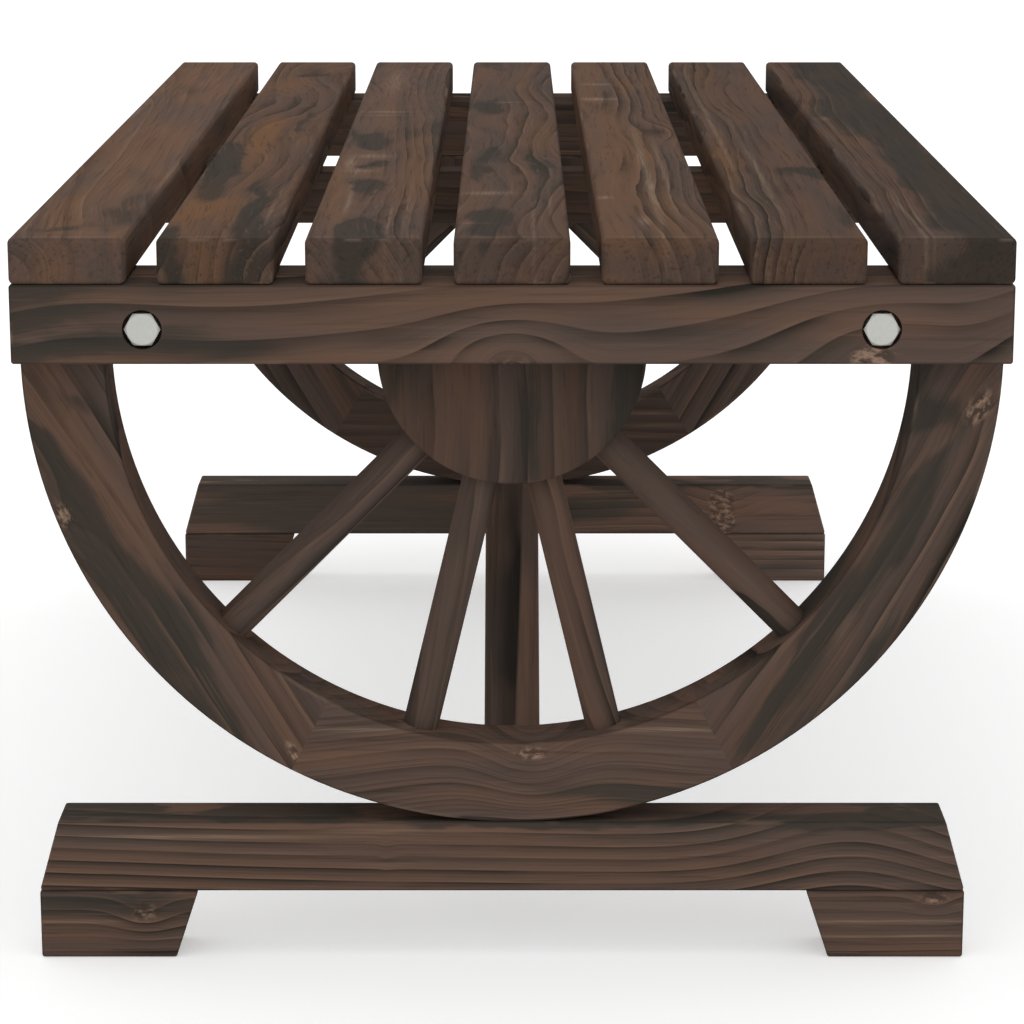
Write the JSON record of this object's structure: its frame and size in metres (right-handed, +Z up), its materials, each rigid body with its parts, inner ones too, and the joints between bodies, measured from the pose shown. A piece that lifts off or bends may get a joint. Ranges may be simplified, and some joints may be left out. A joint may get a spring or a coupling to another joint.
{
  "type": "coffee table",
  "caption": "Slatted wooden coffee table whose ends are half cartwheels with hub and spokes, on footed beams.",
  "frame": {"origin": "on the floor, under the middle of the table top", "axes": "+Z up, +Y along the slats from the front end to the rear end, +X across the slats to the right as seen from the front end"},
  "size_m": [0.5, 0.9, 0.389],
  "materials": {
    "slat_wood": "burnt and brushed softwood, matt, dark grey-brown streaks",
    "rail_wood": "burnt and brushed softwood, matt, long dark bands",
    "wheel_wood": "burnt and brushed softwood, matt",
    "spoke_wood": "turned softwood, burnt, matt",
    "foot_wood": "burnt and brushed softwood, matt",
    "dowel_wood": "plain beech, unfinished",
    "zinc_steel": "zinc plated, satin",
    "screw_steel": "yellow zinc plated, satin"
  },
  "bodies": {
    "root": {"foot_block_screws": "screw_steel", "front_bar_dowels": "dowel_wood", "front_foot_beam": "foot_wood", "front_foot_block_left": "foot_wood", "front_foot_block_right": "foot_wood", "front_hub": "wheel_wood", "front_lap_dowels": "dowel_wood", "front_rail": "rail_wood", "front_rim_bottom": "wheel_wood", "front_rim_left": "wheel_wood", "front_rim_right": "wheel_wood", "front_spoke_inner_left": "spoke_wood", "front_spoke_inner_right": "spoke_wood", "front_spoke_outer_left": "spoke_wood", "front_spoke_outer_right": "spoke_wood", "front_strut": "rail_wood", "front_wheel_bar": "rail_wood", "middle_batten": "rail_wood", "rail_bolt_nuts": "zinc_steel", "rail_bolt_washers": "zinc_steel", "rail_bolts": "zinc_steel", "rear_bar_dowels": "dowel_wood", "rear_foot_beam": "foot_wood", "rear_foot_block_left": "foot_wood", "rear_foot_block_right": "foot_wood", "rear_hub": "wheel_wood", "rear_lap_dowels": "dowel_wood", "rear_rail": "rail_wood", "rear_rim_bottom": "wheel_wood", "rear_rim_left": "wheel_wood", "rear_rim_right": "wheel_wood", "rear_spoke_inner_left": "spoke_wood", "rear_spoke_inner_right": "spoke_wood", "rear_spoke_outer_left": "spoke_wood", "rear_spoke_outer_right": "spoke_wood", "rear_strut": "rail_wood", "rear_wheel_bar": "rail_wood", "rim_screws": "screw_steel", "slat_1": "slat_wood", "slat_2": "slat_wood", "slat_3": "slat_wood", "slat_4": "slat_wood", "slat_5": "slat_wood", "slat_6": "slat_wood", "slat_7": "slat_wood", "slat_screws": "screw_steel", "strut_screws": "screw_steel"}
  },
  "joints": []
}
